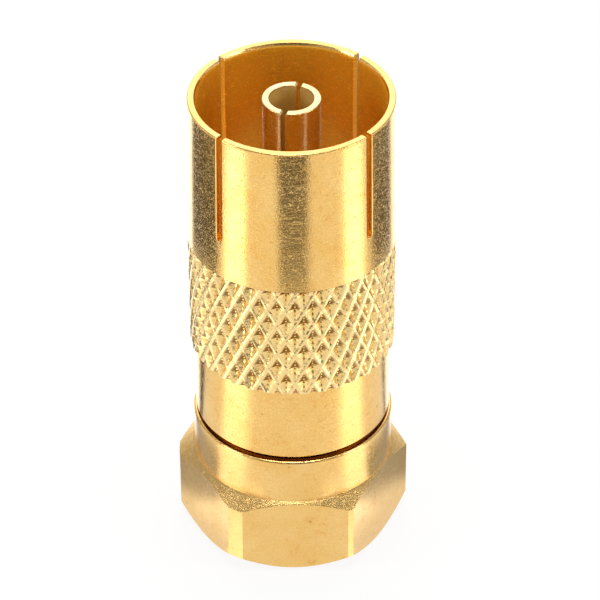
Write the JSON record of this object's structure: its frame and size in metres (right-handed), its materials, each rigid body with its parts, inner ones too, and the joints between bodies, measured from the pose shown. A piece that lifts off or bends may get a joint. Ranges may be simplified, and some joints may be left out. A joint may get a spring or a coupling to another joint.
{
  "type": "coaxial aerial adaptor",
  "caption": "Turned coaxial adaptor with a slotted aerial socket at the top, a knurled grip and a free-turning hexagon coupling nut with an inner thread and centre pin at the foot.",
  "frame": {"origin": "centre of the coupling nut's end face, on the part's axis", "axes": "+Z along the axis, from the plug end up to the socket's rim; +X and +Y across it"},
  "size_m": [0.0122, 0.011, 0.0268],
  "materials": {
    "body_plating": "bright gold plating over turned brass, lightly scratched",
    "nut_plating": "bright gold plating over machined hexagon brass bar",
    "contact_plating": "pale plating over turned brass",
    "ring_metal": "plain spring bronze",
    "insulator": "white turned plastic"
  },
  "bodies": {
    "adaptor_body": {"socket_shell": "body_plating", "centre_contact": "contact_plating", "socket_insulator": "insulator", "plug_insulator": "insulator", "retaining_ring": "ring_metal"},
    "nut": {"coupling_nut": "nut_plating"}
  },
  "joints": [
    {"name": "nut_spin", "type": "hinge", "parent": "adaptor_body", "child": "nut", "pos_m": [0, 0, 0.00677], "axis": [0, 0, 1], "continuous": true}
  ]
}
